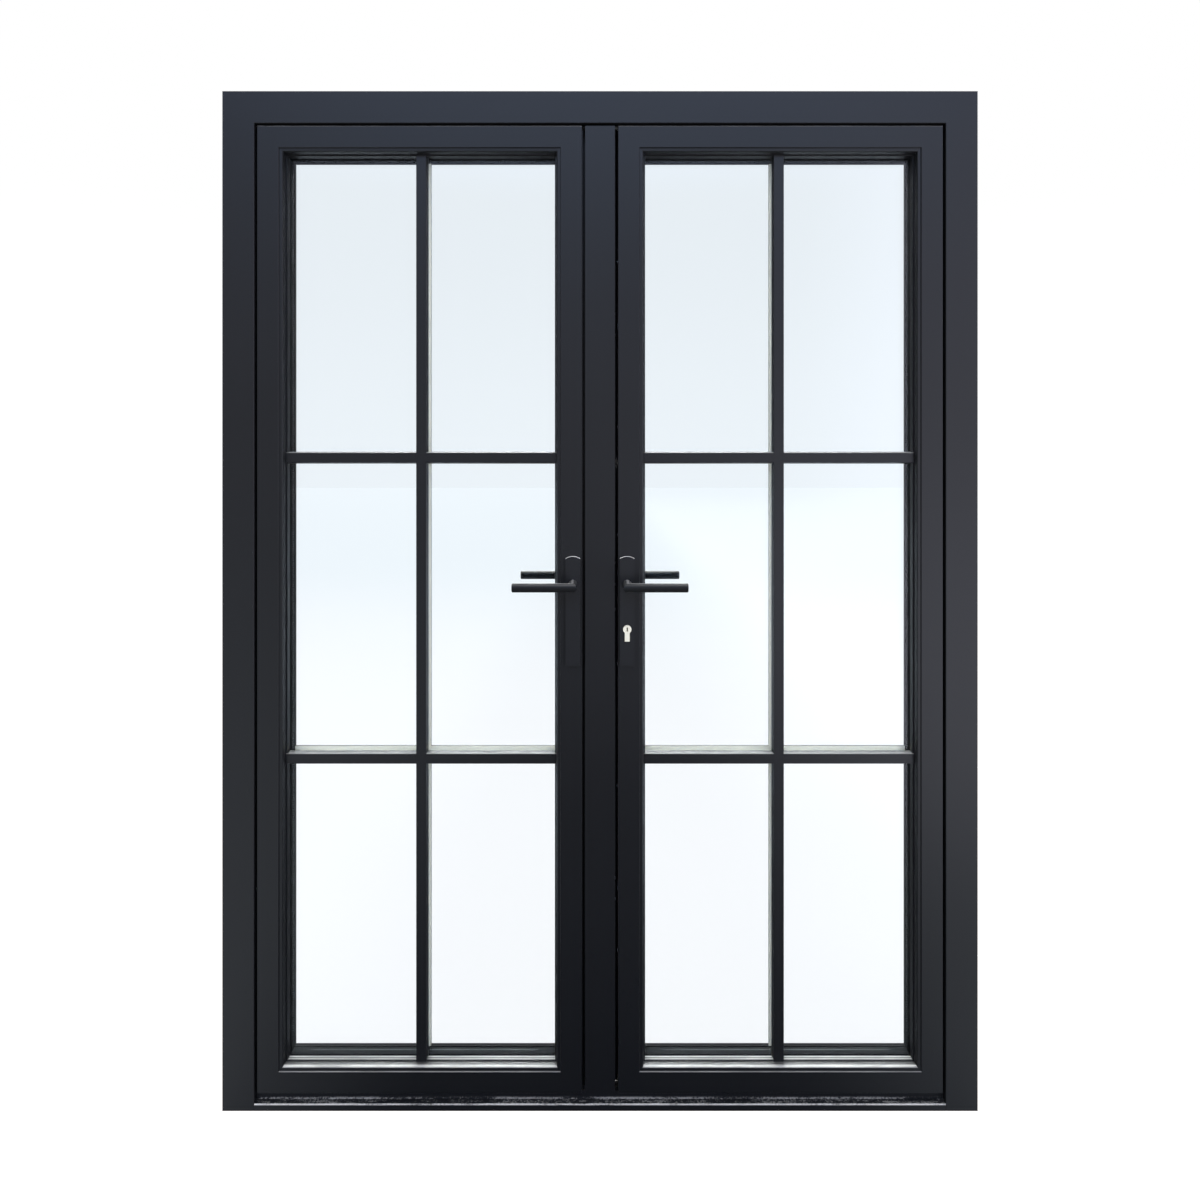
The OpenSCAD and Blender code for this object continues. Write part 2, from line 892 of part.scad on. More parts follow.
module handle_plates(keyed) {
    color(anthracite)
    difference() {
        union() {
            plate();
            translate([0, depth, 0]) mirror([0, 1, 0]) plate();
        }
        bar_y(spindle_x, spindle_v, neck_stub_r + turn, -plate_t - 1, depth + plate_t + 1);
        for (v = screw_rows) {
            bar_y(spindle_x, v, screw_r, -screw_into_plate, depth + plate_t + 1, 24);
            screw_head(v, 0);
        }
        if (keyed)
            euro_profile(fit, -plate_t - 1, depth + plate_t + 1);
    }
}

// Countersunk head of a plate screw, flush with the rear plate
module screw_head(v, under) {
    high = screw_head_t - under;
    translate([spindle_x, depth + plate_t - screw_head_t, v]) rotate([-90, 0, 0])
        cylinder(r1 = screw_r, r2 = screw_r + high, h = high, $fn = 24);
}

module plate_screws() {
    color(steel)
    for (v = screw_rows) {
        bar_y(spindle_x, v, screw_r, -screw_into_plate, depth + plate_t - screw_head_t, 24);
        screw_head(v, fit);
    }
}

// A lever in front of y = 0, its bar pointing along -X from the spindle at the origin
module lever() {
    tip_bevel = 1;
    color(anthracite)
    difference() {
        union() {
            intersection() {
                union() {
                    translate([-lever_reach + tip_bevel, -lever_stand, 0]) rotate([0, 90, 0])
                        cylinder(r = lever_r, h = lever_reach + lever_r - tip_bevel);
                    translate([-lever_reach, -lever_stand, 0]) rotate([0, 90, 0])
                        cylinder(r1 = lever_r - tip_bevel, r2 = lever_r, h = tip_bevel);
                }
                mitre_side(180);
            }
            intersection() {
                bar_y(0, 0, lever_r, -lever_stand - lever_r, -plate_t - neck_gap);
                mitre_side(0);
            }
            bar_y(0, 0, neck_stub_r, -plate_t - neck_gap - 1, 0);
        }
        translate([-spindle_w / 2, -socket_depth, -spindle_w / 2])
            cube([spindle_w, socket_depth + 1, spindle_w]);
    }
}

// One side of the plane that bisects the lever's corner
module mitre_side(turned) {
    big = 400;
    translate([0, -lever_stand, 0]) rotate([0, 0, 45 + turned])
        translate([0, -big / 2, -big / 2]) cube(big);
}

module front_lever() {
    translate([spindle_x, 0, spindle_v]) lever();
}

module rear_lever() {
    translate([0, depth, 0]) mirror([0, 1, 0]) front_lever();
}

module spindle() {
    color(steel)
    translate([spindle_x, 0, spindle_v]) {
        translate([-spindle_w / 2, -socket_depth, -spindle_w / 2])
            cube([spindle_w, depth + 2 * socket_depth, spindle_w]);
        bar_y(0, 0, follower_r, lock_d - lock_t / 2 + case_wall + fit,
              lock_d + lock_t / 2 - case_wall - fit);
    }
}

// ---- lock --------------------------------------------------------------------------------

// Euro profile along Y, grown by a clearance
module euro_profile(grow, from, to) {
    translate([spindle_x, to, cylinder_v]) rotate([90, 0, 0]) linear_extrude(to - from) {
        circle(r = cylinder_r + grow);
        translate([-cylinder_leg_w / 2 - grow, -cylinder_leg_h - grow])
            square([cylinder_leg_w + 2 * grow, cylinder_leg_h]);
    }
}

// A hollow case with its edge at u, between two heights
module hollow_case(u, low, high) {
    difference() {
        block([leaf_w - u - case_w, lock_d - lock_t / 2, low], [leaf_w - u, lock_d + lock_t / 2, high]);
        block([leaf_w - u - case_w + case_wall, lock_d - lock_t / 2 + case_wall, low + case_wall],
              [leaf_w - u - case_wall, lock_d + lock_t / 2 - case_wall, high - case_wall]);
        bar_y(spindle_x, spindle_v, neck_stub_r, -1, depth + 1);
    }
}

module lock_case() {
    color(steel)
    difference() {
        hollow_case(case_u, case_bottom, case_top);
        euro_profile(fit, -1, depth + 1);
        edge_slot(latch_v, latch_h, latch_t, slide);
        edge_slot(dead_v, dead_h, dead_t, slide);
    }
}

// A slot in the meeting edge for a bolt of the given size
module edge_slot(v, high, thick, grow) {
    block([leaf_w - case_u - case_wall - 1, lock_d - thick / 2 - grow, v - high / 2 - grow],
          [leaf_w + 1, lock_d + thick / 2 + grow, v + high / 2 + grow]);
}

module lock_faceplate() {
    low = faceplate_mid - faceplate_h / 2;
    color(steel)
    difference() {
        union() {
            block([leaf_w - faceplate_t, lock_d - lock_t / 2, low],
                  [leaf_w, lock_d + lock_t / 2, low + faceplate_h]);
            for (v = pin_rows)
                block([leaf_w - pin_bolt_l - guide_back, lock_d - lock_t / 2 + 1, v - guide_half],
                      [leaf_w - faceplate_t, lock_d + lock_t / 2 - 1, v + guide_half]);
        }
        edge_slot(latch_v, latch_h, latch_t, slide);
        edge_slot(dead_v, dead_h, dead_t, slide);
        for (v = pin_rows)
            bar_x(lock_d, v, pin_bolt_r + turn, leaf_w - pin_bolt_l - guide_back - 1, leaf_w + 1);
    }
}

module latch_bolt() {
    tip = leaf_w - tip_set;
    color(nickel)
    difference() {
        block([tip - latch_l, lock_d - latch_t / 2, latch_v - latch_h / 2],
              [tip, lock_d + latch_t / 2, latch_v + latch_h / 2]);
        translate([tip, lock_d - latch_t / 2 - 1, latch_v]) rotate([0, 0, latch_bevel])
            translate([0, -20, -latch_h]) cube([40, 40, 2 * latch_h]);
    }
}

module dead_bolt() {
    tip = leaf_w - tip_set;
    color(nickel)
        block([tip - dead_l, lock_d - dead_t / 2, dead_v - dead_h / 2],
              [tip, lock_d + dead_t / 2, dead_v + dead_h / 2]);
}

module pin_bolts() {
    color(nickel)
    for (v = pin_rows)
        bar_x(lock_d, v, pin_bolt_r, leaf_w - tip_set - pin_bolt_l, leaf_w - tip_set);
}

cylinder_front = -plate_t - cylinder_proud;
cylinder_back = depth + plate_t + cylinder_proud;

module cylinder_body() {
    color(nickel)
    difference() {
        euro_profile(0, cylinder_front, cylinder_back);
        bar_y(spindle_x, cylinder_v, plug_r + turn, cylinder_front - 1, cylinder_back + 1);
        block([spindle_x - 20, lock_d - cam_half - slide, cylinder_v - cam_r - 1.5],
              [spindle_x + 20, lock_d + cam_half + slide, cylinder_v + 20]);
    }
}

// The slot for the key, cut into a plug from its outer end
module keyway(from, to) {
    block([spindle_x - keyway_w / 2, from, cylinder_v - keyway_h / 2],
          [spindle_x + keyway_w / 2, to, cylinder_v + keyway_h / 2]);
}

module cylinder_front_plug() {
    color(nickel)
    difference() {
        union() {
            bar_y(spindle_x, cylinder_v, plug_r, cylinder_front, lock_d);
            bar_y(spindle_x, cylinder_v, cylinder_r - 0.5, lock_d - cam_half, lock_d + cam_half);
            block([spindle_x - cam_w / 2, lock_d - cam_half, cylinder_v - cam_r],
                  [spindle_x + cam_w / 2, lock_d + cam_half, cylinder_v]);
        }
        keyway(cylinder_front - 1, cylinder_front + keyway_l);
    }
}

module cylinder_rear_plug() {
    color(nickel)
    difference() {
        bar_y(spindle_x, cylinder_v, plug_r, lock_d + cam_half + slide, cylinder_back);
        keyway(cylinder_back - keyway_l, cylinder_back + 1);
    }
}

// The left leaf's gearbox, with a hole above and below for the shoot bolts
module bolt_gearbox() {
    low = spindle_v - gearbox_half;
    high = spindle_v + gearbox_half;
    color(steel)
    difference() {
        hollow_case(wall, low, high);
        shoot_rail_hole(low - 1, high + 1);
    }
}

module top_bolt() {
    from = spindle_v + shoot_inner;
    color(nickel)
    translate([leaf_w - shoot_u, lock_d, from])
        cylinder(r = shoot_r, h = leaf_h + flange - shoot_end - from);
}

module bottom_bolt() {
    color(nickel)
    translate([leaf_w - shoot_u, lock_d, -flange + shoot_end])
        cylinder(r = shoot_r, h = spindle_v - shoot_inner + flange - shoot_end);
}

// ---- drawing -----------------------------------------------------------------------------

in_frame() jamb_left();  // left_jamb
in_frame() jamb_right();  // right_jamb
in_frame() head();
in_frame() threshold();
in_frame() frame_cleats();
in_frame() frame_seal();
in_frame() shoot_keep(frame_h - frame_face + rebate_step - keep_t);  // head_keep
in_frame() shoot_keep(sill_h);  // threshold_keep
hinge_frame_halves();
hinge_pins();
in_leaf(left) hinge_stile();  // left_hinge_stile
in_leaf(left) left_meeting_stile();
in_leaf(left) left_top_rail();
in_leaf(left) left_bottom_rail();
in_leaf(left) corner_cleats();  // left_corner_cleats
in_leaf(left) pane(glass_depth);  // left_outer_pane
in_leaf(left) pane(inner_pane_d);  // left_inner_pane
in_leaf(left) spacer();  // left_spacer
in_leaf(left) gaskets();  // left_gaskets
in_leaf(left) glazing_beads();  // left_glazing_beads
in_leaf(left) glazing_bars();  // left_glazing_bars
in_leaf(left) hinge_leaf_halves();  // left_hinge_halves
in_leaf(left) handle_plates(false);  // left_handle_plates
in_leaf(left) plate_screws();  // left_plate_screws
in_leaf(left) bolt_gearbox();
in_leaf(left) mullion();
in_leaf(left) mullion_caps();
in_leaf(left) mullion_seal();
in_leaf(left) mullion_keeps();
in_leaf(left) front_lever();  // left_front_lever
in_leaf(left) rear_lever();  // left_rear_lever
in_leaf(left) spindle();  // left_spindle
in_leaf(left) top_bolt();
in_leaf(left) bottom_bolt();
in_leaf(right) hinge_stile();  // right_hinge_stile
in_leaf(right) right_meeting_stile();
in_leaf(right) top_rail();  // right_top_rail
in_leaf(right) bottom_rail();  // right_bottom_rail
in_leaf(right) corner_cleats();  // right_corner_cleats
in_leaf(right) pane(glass_depth);  // right_outer_pane
in_leaf(right) pane(inner_pane_d);  // right_inner_pane
in_leaf(right) spacer();  // right_spacer
in_leaf(right) gaskets();  // right_gaskets
in_leaf(right) glazing_beads();  // right_glazing_beads
in_leaf(right) glazing_bars();  // right_glazing_bars
in_leaf(right) hinge_leaf_halves();  // right_hinge_halves
in_leaf(right) handle_plates(true);  // right_handle_plates
in_leaf(right) plate_screws();  // right_plate_screws
in_leaf(right) lock_case();
in_leaf(right) lock_faceplate();
in_leaf(right) cylinder_body();
in_leaf(right) front_lever();  // right_front_lever
in_leaf(right) rear_lever();  // right_rear_lever
in_leaf(right) spindle();  // right_spindle
in_leaf(right) latch_bolt();
in_leaf(right) dead_bolt();
in_leaf(right) pin_bolts();
in_leaf(right) cylinder_front_plug();
in_leaf(right) cylinder_rear_plug();
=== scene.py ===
"""French doors: finishes, glazing and hardware detail, and a studio stage round them."""

import math
import random

import bmesh
import bpy
from bpy.props import FloatProperty, FloatVectorProperty, IntProperty, PointerProperty
from mathutils import Matrix, Vector


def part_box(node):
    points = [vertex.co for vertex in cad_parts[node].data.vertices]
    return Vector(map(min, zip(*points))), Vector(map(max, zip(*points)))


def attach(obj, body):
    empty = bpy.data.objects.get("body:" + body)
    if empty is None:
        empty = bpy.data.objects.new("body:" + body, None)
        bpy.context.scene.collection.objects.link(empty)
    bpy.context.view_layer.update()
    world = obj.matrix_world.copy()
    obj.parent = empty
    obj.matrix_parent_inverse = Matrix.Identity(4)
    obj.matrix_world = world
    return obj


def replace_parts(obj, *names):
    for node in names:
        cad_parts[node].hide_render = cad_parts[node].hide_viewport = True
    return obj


bl_info = {
    "name": "French doors",
    "version": (1, 0, 0),
    "blender": (4, 5, 0),
    "location": "View3D > Sidebar > French doors",
    "description": "Finishes, glazing and hardware detail for a pair of glazed doors",
    "category": "Object",
}

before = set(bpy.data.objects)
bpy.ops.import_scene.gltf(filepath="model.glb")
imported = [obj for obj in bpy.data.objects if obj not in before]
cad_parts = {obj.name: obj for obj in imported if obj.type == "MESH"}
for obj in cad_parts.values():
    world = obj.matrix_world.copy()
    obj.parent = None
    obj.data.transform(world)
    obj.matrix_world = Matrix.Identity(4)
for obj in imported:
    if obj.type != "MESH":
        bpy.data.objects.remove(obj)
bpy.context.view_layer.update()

MM = 0.001
SIDES = ("left", "right")
FRONT_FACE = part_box("left_jamb")[0].y
REAR_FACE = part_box("right_jamb")[1].y
BAR_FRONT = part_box("left_glazing_bars")[0].y - FRONT_FACE

# Lines of painted highlight on the leaves' ledges and the bars' tops: depth behind the front face,
# reach to both sides, strength.
LEDGE_HIGHLIGHTS = ((26.2 * MM, 2.2 * MM, 3.0), (21.2 * MM, 1.5 * MM, 2.0), (6.8 * MM, 4.0 * MM, 3.2))
BAR_TOP_HIGHLIGHT = ((BAR_FRONT + 4 * MM, 7 * MM, 0.65),)

# The threshold's front lip, where its coat is scuffed, and the corner behind it.
LIP_BACK, LIP_TOP = -20 * MM, 14 * MM

# The spacer's width in the plane of the glass, how far its holes lie behind its front, and
# how far the grains in them stand out.
SPACER_WIDTH, HOLE_ROW, GRAIN_HEIGHT = 13 * MM, 13.5 * MM, 0.06 * MM

# The gap that keeps faces from sharing a plane, and the bevel round a pane.
HAIR, GROUND_EDGE = 0.05 * MM, 0.5 * MM

# Plate screws: the shank's radius, the height and width of the head's chamfer, and the
# radius and depth of the key's socket.
SHANK_RADIUS = 2.5 * MM
HEAD_CHAMFER = (0.3 * MM, 0.2 * MM)
KEY_SOCKET = (2.1 * MM, 2.2 * MM)

# Hinges: half the height and the thickness of a plate, the radius of its barrel, and the
# screws' distances from the barrel's axis and from the plate's middle.
HINGE_HALF_HEIGHT, HINGE_PLATE, BARREL_RADIUS = 42 * MM, 4 * MM, 8.5 * MM
HINGE_SCREWS = [(across * MM, up * MM) for across in (15, 30) for up in (28, -28)]

# Length of an end keep, a keep screw's distance from an end or a hole, and the screws down
# the faceplate as shares of its height.
KEEP_LENGTH, KEEP_SCREW = 60 * MM, 8 * MM
FACEPLATE_SCREWS = (0.02, 0.25, 0.42, 0.60, 0.75, 0.98)

# The brush: its backing's thickness, how deep the tufts stand in it and how far inside its
# faces, how far their tips lean, and how much of the pitch a tuft fills.
BRUSH_BACKING, TUFT_SEAT, TUFT_INSET = 2 * MM, 0.2 * MM, 1.2 * MM
TUFT_LEAN, TUFT_FILL = 0.6 * MM, 0.98

# Depth of the relief that the bumps stand for: paint and brushed metal, and coarser ones.
FINE_RELIEF, COARSE_RELIEF = 0.2 * MM, 0.3 * MM

# Half the floor's side, in metres.
FLOOR_REACH = 40


# ---- settings --------------------------------------------------------------------------------


class FinishSettings(bpy.types.PropertyGroup):
    """Colours and surface of the coated sections, handles and metal parts."""

    coat: FloatVectorProperty(
        name="Coat", description="Powder coat on frame, leaves and mullion",
        subtype="COLOR", size=3, min=0, max=1, default=(0.0075, 0.0076, 0.0082))
    handle_coat: FloatVectorProperty(
        name="Handle coat", description="Powder coat on levers and handle plates",
        subtype="COLOR", size=3, min=0, max=1, default=(0.0105, 0.0106, 0.0105))
    sheen_roughness: FloatProperty(
        name="Roughness", description="Roughness of the satin coat",
        min=0.05, max=1, default=0.34)
    gloss: FloatProperty(
        name="Gloss", description="Strength of the coat's reflections",
        min=0, max=1, default=0.22)
    # Pale colour of the dust, also used for the painted highlights on ledges, bar tops, lever tops
    # and plate edges.
    dust_and_highlight: FloatVectorProperty(
        name="Dust", description="Dust on the threshold and other upward faces",
        subtype="COLOR", size=3, min=0, max=1, default=(0.56, 0.52, 0.46))
    tape: FloatVectorProperty(
        name="Tape", description="Tape between the glazing bars and the glass",
        subtype="COLOR", size=3, min=0, max=1, default=(1.0, 0.88, 0.69))
    dust_share: FloatProperty(
        name="Dust share", description="How much of the threshold the dust covers",
        min=0, max=1, default=0.9)
    nickel: FloatVectorProperty(
        name="Nickel", description="Satin plating of the cylinder",
        subtype="COLOR", size=3, min=0, max=1, default=(0.86, 0.80, 0.62))
    zinc: FloatVectorProperty(
        name="Zinc", description="Plating of screws, keeps and lock parts",
        subtype="COLOR", size=3, min=0, max=1, default=(0.56, 0.57, 0.59))


class GlazingSettings(bpy.types.PropertyGroup):
    """The glass and the perforated spacer between the panes."""

    glass: FloatVectorProperty(
        name="Glass", description="Tint of one pane",
        subtype="COLOR", size=3, min=0, max=1, default=(0.900, 0.934, 0.958))
    hole_pitch: FloatProperty(
        name="Hole pitch", description="Distance between the spacer's perforations",
        unit="LENGTH", min=0.002, max=0.02, default=0.005)
    hole_radius: FloatProperty(
        name="Hole radius", description="Radius of one perforation",
        unit="LENGTH", min=0.0003, max=0.002, default=0.0008)
    corner_clear: FloatProperty(
        name="Corner clear", description="Length without perforations at each corner",
        unit="LENGTH", min=0, max=0.1, default=0.038)


class HardwareSettings(bpy.types.PropertyGroup):
    """Screws and the brush strip on the mullion."""

    head_radius: FloatProperty(
        name="Head radius", description="Radius of a hinge or keep screw's head",
        unit="LENGTH", min=0.001, max=0.008, default=0.0034)
    head_height: FloatProperty(
        name="Head height", description="Height of a hinge or keep screw's head",
        unit="LENGTH", min=0.0003, max=0.004, default=0.0011)
    tuft_pitch: FloatProperty(
        name="Tuft pitch", description="Distance between tufts of the brush strip",
        unit="LENGTH", min=0.001, max=0.01, default=0.0022)
    seed: IntProperty(
        name="Seed", description="Start of the random lean of the tufts",
        min=0, default=7)


class StageSettings(bpy.types.PropertyGroup):
    """Floor and camera."""

    floor: FloatVectorProperty(
        name="Floor", description="Colour of the floor",
        subtype="COLOR", size=3, min=0, max=1, default=(0.80, 0.81, 0.82))
    camera_distance: FloatProperty(
        name="Camera distance", description="Distance from the frame's front face",
        unit="LENGTH", min=0.5, max=10, default=1.66)
    camera_height: FloatProperty(
        name="Camera height", description="Height of the camera above the floor",
        unit="LENGTH", min=0, max=3, default=1.33)
    lens: FloatProperty(
        name="Lens", description="Focal length in millimetres",
        min=10, max=200, default=24.3)
    shift: FloatProperty(
        name="Shift", description="Vertical shift that keeps the uprights parallel",
        min=-1, max=1, default=-0.115)


# ---- wiring of materials ---------------------------------------------------------------------


class Wire:
    """A shader socket that takes part in Python expressions."""

    def __init__(self, finish, socket):
        self.finish = finish
        self.socket = socket

    def _maths(self, operation, first, second):
        return self.finish.node(
            "ShaderNodeMath", {"operation": operation}, {0: first, 1: second})

    def __add__(self, other):
        return self._maths("ADD", self, other)

    def __sub__(self, other):
        return self._maths("SUBTRACT", self, other)

    def __rsub__(self, other):
        return self._maths("SUBTRACT", other, self)

    def __mul__(self, other):
        return self._maths("MULTIPLY", self, other)

    __radd__ = __add__
    __rmul__ = __mul__


class Wiring:
    """A node tree: node() adds any node, and expressions on Wires add the maths."""

    def __init__(self, owner):
        owner.use_nodes = True
        self.tree = owner.node_tree
        self.tree.nodes.clear()

    def node(self, kind, settings=None, sockets=None, output=0):
        """Adds a node: its settings first, then the values or links of its sockets.

        Returns the output that is named or counted by output, or nothing where it is None.
        """
        made = self.tree.nodes.new(kind)
        for name, value in (settings or {}).items():
            setattr(made, name, value)
        for name, value in (sockets or {}).items():
            if isinstance(value, Wire):
                self.tree.links.new(value.socket, made.inputs[name])
            else:
                made.inputs[name].default_value = value
        return None if output is None else Wire(self, made.outputs[output])

    def split(self, vector, axis):
        """One of a vector's three numbers."""
        return self.node("ShaderNodeSeparateXYZ", None, {"Vector": vector}, axis)

    def step(self, value, start, end):
        """0 below start, 1 above end, and smooth between them."""
        return self.node(
            "ShaderNodeMapRange", {"interpolation_type": "SMOOTHSTEP"},
            {"Value": value, "From Min": start, "From Max": end})

    def band(self, value, middle, reach):
        """1 at the middle, falling smoothly to 0 within the reach on both sides."""
        return self.step(value, middle - reach, middle) * self.step(value, middle + reach, middle)

    def mix(self, factor, low, high):
        """The low colour where the factor is 0 and the high one where it is 1."""
        return self.node(
            "ShaderNodeMix", {"data_type": "RGBA"}, {0: factor, 6: low, 7: high}, 2)

    def seen_directly(self):
        """1 for what the eye sees, through glass too; 0 for what surfaces mirror or gather."""
        path = {name: self.node("ShaderNodeLightPath", output=name) for name in (
            "Is Camera Ray", "Is Transmission Ray", "Glossy Depth", "Diffuse Depth")}
        mirrored = path["Glossy Depth"] + path["Diffuse Depth"]
        return self.node(
            "ShaderNodeMath", {"operation": "MULTIPLY_ADD", "use_clamp": True},
            {0: path["Is Transmission Ray"], 1: 1 - mirrored, 2: path["Is Camera Ray"]})


class Finish(Wiring):
    """One procedural material."""

    def __init__(self, name):
        self.material = bpy.data.materials.new(name)
        super().__init__(self.material)

    def place(self):
        """Object coordinates, in metres."""
        return self.node("ShaderNodeTexCoord", output="Object")

    def stretched(self, scale):
        """Object coordinates multiplied by three numbers."""
        return self.node(
            "ShaderNodeMapping", None, {"Vector": self.place(), "Scale": scale})

    def noise(self, vector, scale, detail=3.0, rough=0.5):
        return self.node(
            "ShaderNodeTexNoise", None,
            {"Vector": vector, "Scale": scale, "Detail": detail, "Roughness": rough})

    def turn(self, axis):
        """How far a face looks along one axis, from -1 to 1."""
        return self.split(self.node("ShaderNodeTexCoord", output="Normal"), axis)

    def upward(self, start, end):
        """1 on faces that look up, 0 on the others."""
        return self.step(self.turn("Z"), start, end)

    def bump(self, height, strength, distance):
        return self.node(
            "ShaderNodeBump", None,
            {"Height": height, "Strength": strength, "Distance": distance})

    def surface(self, **sockets):
        """The shader, with its socket names written with underscores, and the output."""
        named = {name.replace("_", " "): value for name, value in sockets.items()}
        return self.show(self.node("ShaderNodeBsdfPrincipled", None, named))

    def show(self, shader):
        self.node("ShaderNodeOutputMaterial", None, {"Surface": shader}, None)
        return self.material


def tone(colour, share):
    """A colour made lighter or darker, with its fourth channel."""
    return (*[min(1, channel * share) for channel in colour], 1)


# ---- finishes --------------------------------------------------------------------------------


def dust_and_highlight_share(coat, where, dust_and_highlight, patchy, rim_highlight, highlight_lines):
    """Share of dust and painted highlight on a coat, and the rubbed pattern that makes it uneven.
    """
    rub = coat.noise(coat.stretched((9, 60, 60)), 1.0, 4, 0.6)
    uneven = coat.step(rub, 0.3, 0.7) * patchy + (1 - patchy)
    # Painted highlight on faces sloping halfway up: the crests of mouldings and rounded edges.
    crest_highlight = coat.upward(0.35, 0.6) * (1 - coat.upward(0.8, 0.96))
    # Dust on level faces, plus the painted crest highlight, made uneven.
    share = (coat.upward(0.45, 0.9) + crest_highlight * 2.5) * uneven * dust_and_highlight
    # A painted highlight along the tops of round bars.
    if rim_highlight:
        share = share + coat.upward(0.93, 0.985) * rim_highlight
    # Lines of painted highlight: the share is thickened at given depths behind the front face.
    if highlight_lines:
        depth = coat.split(where, "Y") - FRONT_FACE
        thick = 0.55
        for middle, reach, strength in highlight_lines:
            thick = thick + coat.band(depth, middle, reach) * strength
        share = share * thick
    return share, rub


def satin_coat(name, colour, settings, dust_and_highlight=0.0, patchy=0.5, pale=1.0, rim_highlight=0.0, highlight_lines=(),
               tape=False, grain=900, shine=1.0):
    """Satin powder coat: faint cloudiness, fine texture, dust and painted highlight where it looks
    up.

    The amount of dust and painted highlight sets how much lies on level faces, patchy how unevenly
    and pale how light it is. Round bars can get a painted highlight along their crest, and the coat
    can get thicker lines of painted highlight at given depths.
    tape gives the faces that are bonded to the glass the colour of their tape.
    """
    coat = Finish(name)
    where = coat.place()
    cloud = coat.noise(where, 2.3, 4)
    cloudy = coat.mix(cloud, tone(colour, 0.8), tone(colour, 1.2))
    peel = coat.noise(where, grain, 2)
    share, rub = dust_and_highlight_share(coat, where, dust_and_highlight, patchy, rim_highlight, highlight_lines)
    # Mixes in the pale colour: dust, and painted highlight on crests, round bars' tops and lines.
    coated = coat.mix(share, cloudy, tone(settings.dust_and_highlight, pale))
    if tape:
        # -1 before the glass and 1 behind it: a bonded face looks the other way.
        behind = coat.step(coat.split(where, "Y"), 0.0, 10 * MM) * 2 - 1
        bonded = coat.step(coat.turn("Y") * behind, -0.7, -0.9)
        coated = coat.mix(bonded, coated, (*settings.tape, 1))
    return coat.surface(
        Base_Color=coated,
        Roughness=settings.sheen_roughness - 0.03 + cloud * 0.05 + rub * 0.03 + share * 0.4,
        Specular_IOR_Level=settings.gloss * shine,
        Normal=coat.bump(peel, 0.03, FINE_RELIEF),
    )


def threshold_coat(settings):
    """The same coat, scuffed along its front edge and dusty in its inner corner."""
    coat = Finish("threshold_scuffed_coat")
    where = coat.place()
    depth, height = coat.split(where, "Y"), coat.split(where, "Z")
    drag = coat.noise(coat.stretched((7, 60, 60)), 4.0, 5, 0.65)
    speck = coat.noise(where, 240, 4, 0.7)
    patch = coat.noise(coat.stretched((3, 20, 20)), 2.7, 4)
    corner = coat.band(depth, LIP_BACK, 2 * MM) * coat.step(height, 19.5 * MM, LIP_TOP)
    edge = (coat.band(depth, FRONT_FACE + 0.5 * MM, 2.2 * MM)
            * coat.step(height, 10.5 * MM, LIP_TOP - MM))
    mottled = coat.step(speck * 0.5 + drag * 0.3 + patch * 0.2, 0.50, 0.62)
    share = settings.dust_share * (
        corner * coat.step(patch * 0.5 + speck * 0.5, 0.46, 0.58) * 0.6
        + edge * coat.step(drag * 0.4 + patch * 0.3 + speck * 0.3, 0.36, 0.52)
        + coat.upward(0.5, 0.9) * mottled * 0.45)
    return coat.surface(
        Base_Color=coat.mix(share, tone(settings.coat, 1.1), tone(settings.dust_and_highlight, 1)),
        Roughness=settings.sheen_roughness + drag * 0.1 + share * 0.3,
        Specular_IOR_Level=settings.gloss,
        Normal=coat.bump(speck, 0.15, COARSE_RELIEF),
    )


def window_glass(settings):
    """Float glass, plainly clear for the light that reaches what lies behind it."""
    glass = Finish("float_glass")
    ripple = glass.noise(glass.place(), 1.7, 1)
    body = glass.node("ShaderNodeBsdfPrincipled", None, {
        "Base Color": glass.mix(ripple, tone(settings.glass, 0.995), tone(settings.glass, 1)),
        "Roughness": 0.0, "IOR": 1.25, "Transmission Weight": 1.0,
    })
    clear = glass.node("ShaderNodeBsdfTransparent", None, {"Color": tone(settings.glass, 0.96)})
    lighting = glass.node("ShaderNodeLightPath", output="Is Shadow Ray")
    return glass.show(glass.node("ShaderNodeMixShader", None, {0: lighting, 1: body, 2: clear}))


def rubber(name, shade, scale):
    """Dull dark rubber or plastic with a fine grain."""
    seal = Finish(name)
    grain = seal.noise(seal.place(), scale, 3)
    low, high = shade * 0.7, shade * 1.4
    return seal.surface(
        Base_Color=seal.mix(
            grain, (low, low, shade * 0.72, 1), (high, high, shade * 1.45, 1)),
        Roughness=0.62 + grain * 0.2,
        Specular_IOR_Level=0.07,
        Normal=seal.bump(grain, 0.2, COARSE_RELIEF),
    )


def spacer_foil():
    """Dark coated spacer: a soft sheen with a faint drawn grain."""
    foil = Finish("spacer_dark_foil")
    drawn = foil.noise(foil.stretched((8, 900, 8)), 1.0, 3)
    return foil.surface(
        Base_Color=foil.mix(drawn, (0.004, 0.0042, 0.0045, 1), (0.009, 0.0094, 0.010, 1)),
        Roughness=0.8 + drawn * 0.12,
        Specular_IOR_Level=0.02,
        Normal=foil.bump(drawn, 0.1, FINE_RELIEF),
    )


def perforation():
    """The pale grains that show in the spacer's holes."""
    grain = Finish("spacer_hole_grain")
    speck = grain.noise(grain.place(), 500, 2)
    return grain.surface(
        Base_Color=grain.mix(speck, (0.15, 0.153, 0.158, 1), (0.28, 0.285, 0.29, 1)),
        Roughness=0.6 + speck * 0.2,
    )


